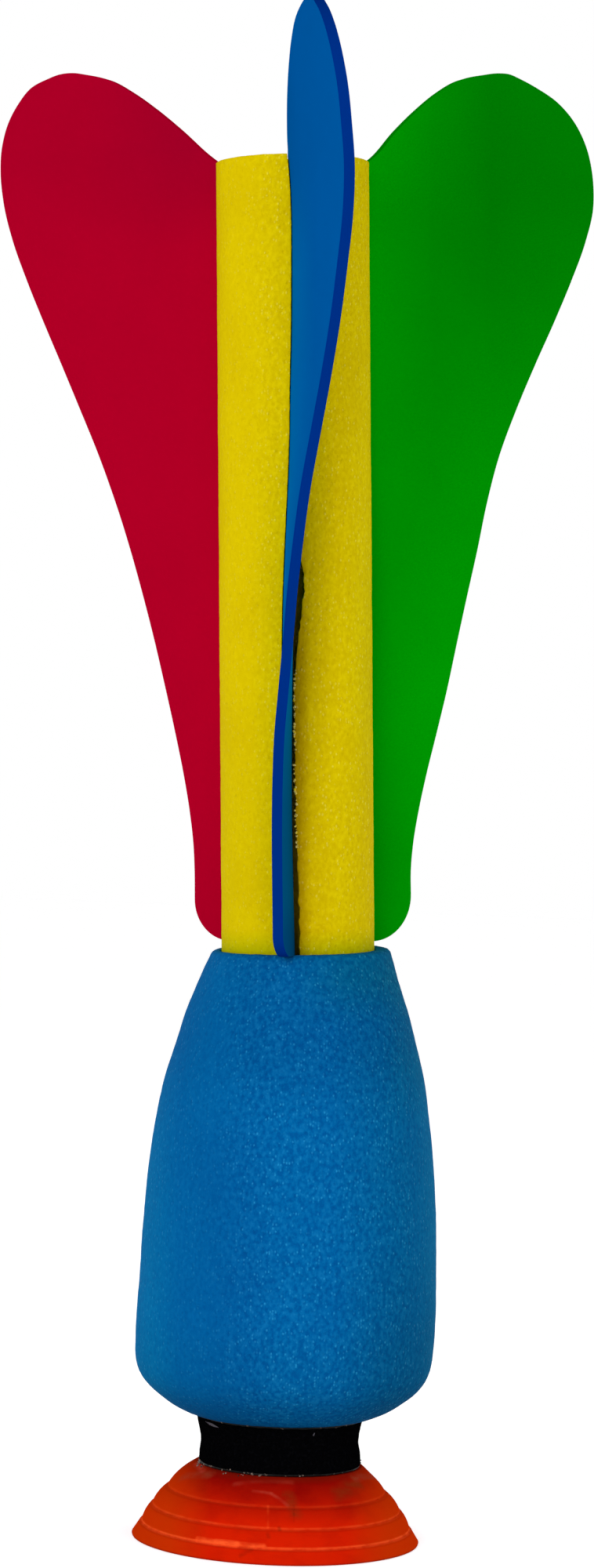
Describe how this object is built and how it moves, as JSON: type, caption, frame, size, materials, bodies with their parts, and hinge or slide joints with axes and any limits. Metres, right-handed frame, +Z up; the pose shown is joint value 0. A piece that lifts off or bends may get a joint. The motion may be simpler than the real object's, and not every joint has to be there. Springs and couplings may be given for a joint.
{
  "type": "vortex throwing toy",
  "caption": "Foam throwing rocket with a stepped suction cup on its nose, a bell-shaped foam head, a foam tube and sheet foam fins.",
  "frame": {"origin": "the middle of the suction cup's rim, on the surface that the toy stands on", "axes": "+Z up the cup and the head, from the rim towards the fins; the blue fin faces -Y, the red fin is towards -X and the green fin towards +X; the tube and fins lean 2.55 degrees towards -X"},
  "size_m": [0.1211, 0.1053, 0.2915],
  "materials": {
    "cup_pvc": "satin",
    "collar_foam": "matte",
    "blue_foam": "matte",
    "yellow_foam": "matte",
    "red_eva": "matte",
    "green_eva": "matte",
    "blue_eva": "matte",
    "hot_melt_glue": "satin"
  },
  "bodies": {
    "root": {"suction_cup": "cup_pvc", "neck_collar": "collar_foam", "collar_cup_glue": "hot_melt_glue", "collar_head_glue": "hot_melt_glue", "stem_glue": "hot_melt_glue", "head_foam": "blue_foam", "tube_glue": "hot_melt_glue", "body_tube": "yellow_foam", "fin_red": "red_eva", "fin_green": "green_eva", "fin_blue": "blue_eva", "fin_red_glue": "hot_melt_glue", "fin_green_glue": "hot_melt_glue", "fin_blue_glue": "hot_melt_glue"}
  },
  "joints": []
}
